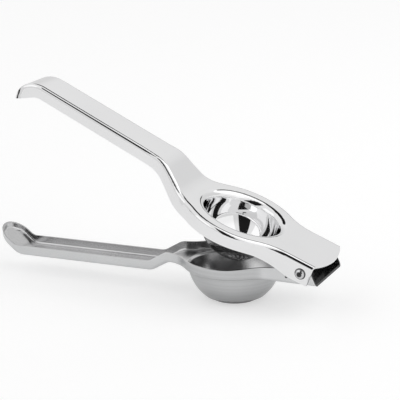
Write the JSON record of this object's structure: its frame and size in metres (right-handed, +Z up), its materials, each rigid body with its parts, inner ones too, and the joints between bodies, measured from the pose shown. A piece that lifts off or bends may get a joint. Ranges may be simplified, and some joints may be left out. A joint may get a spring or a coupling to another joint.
{
  "type": "hinged lemon squeezer",
  "caption": "Hand squeezer for halved lemons: a pressed steel arm with a round plunger bowl hinged by a through rivet to an arm with a perforated cup and flat foot.",
  "frame": {"origin": "middle of the cup's flat foot, on the resting face", "axes": "+X from the cup towards the hinge end, +Y across the arms, +Z up; the foot rests on Z = 0"},
  "size_m": [0.2357, 0.075, 0.1303],
  "materials": {
    "polished_steel": "mirror polished",
    "satin_steel": "satin outside, polished inside",
    "rivet_steel": "polished"
  },
  "bodies": {
    "cup": {"cup_arm": "satin_steel"},
    "press": {"press_arm": "polished_steel", "hinge_rivet": "rivet_steel"}
  },
  "joints": [
    {"name": "arm_hinge", "type": "hinge", "parent": "cup", "child": "press", "pos_m": [0.0535, 0, 0.0292], "axis": [0, 1, 0], "range_deg": [-21.4, 47]}
  ]
}
